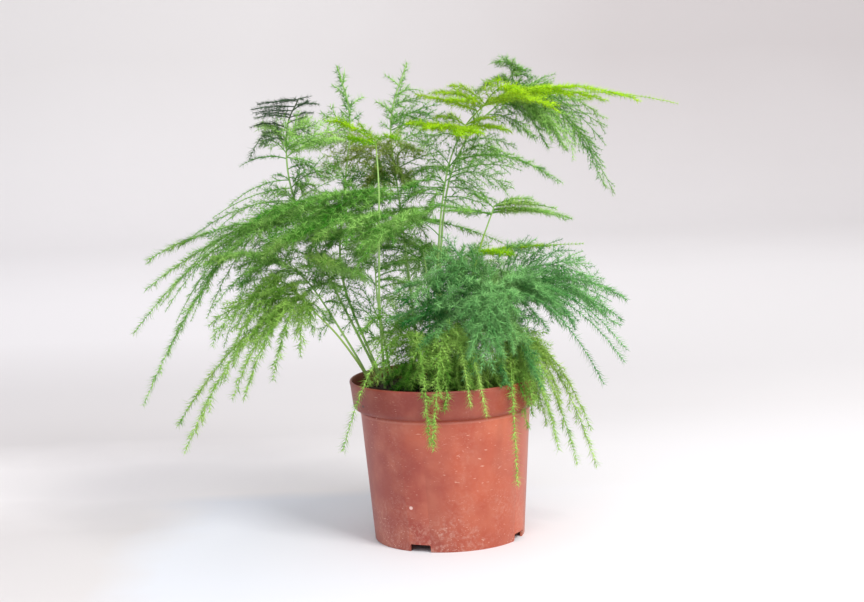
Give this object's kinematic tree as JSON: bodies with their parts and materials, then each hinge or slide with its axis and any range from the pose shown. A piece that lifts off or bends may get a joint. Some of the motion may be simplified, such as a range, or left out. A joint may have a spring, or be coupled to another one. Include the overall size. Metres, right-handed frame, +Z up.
{
  "type": "potted asparagus fern",
  "caption": "Asparagus fern with wiry stems and flat, feathery sprays of fine needles, rooted in soil in a round nursery pot with a banded rim and drainage notches at its foot.",
  "frame": {"origin": "middle of the pot's flat foot, on the surface that the pot stands on", "axes": "+Z up, -Y towards the front of the plant, +X to the right of the front view, across the plant's widest spread"},
  "size_m": [0.4077, 0.2426, 0.35],
  "materials": {
    "terracotta_plastic": "matte moulded plastic, scuffed and dusty near the foot",
    "soil": "dark crumbly potting soil",
    "leaf_green": "soft mid-green needles and stems",
    "fresh_green": "yellower green of young drooping fronds",
    "blue_green": "cool blue-green needles of mature fronds",
    "lime_green": "bright lime needles of the newest fronds",
    "dark_green": "dark grey-green needles of the oldest tip"
  },
  "bodies": {
    "root": {"pot": "terracotta_plastic", "soil": "soil", "stem_low_back": "leaf_green", "stem_low_front": "fresh_green", "stem_arching": "leaf_green", "tiers_dark": "dark_green", "stem_upright": "leaf_green", "stem_front": "leaf_green", "crown_front_lime": "lime_green", "stem_short": "leaf_green", "stem_middle": "leaf_green", "stem_thin": "leaf_green", "stem_centre": "leaf_green", "crown_lime": "lime_green", "stem_tall": "leaf_green", "stem_forked_lime": "lime_green", "fork_green": "leaf_green", "stem_blue_front": "blue_green", "stem_blue_back": "blue_green", "stem_rim_left": "fresh_green", "stem_rim_middle": "fresh_green", "stem_rim_right": "fresh_green", "stem_rear": "leaf_green"}
  },
  "joints": []
}
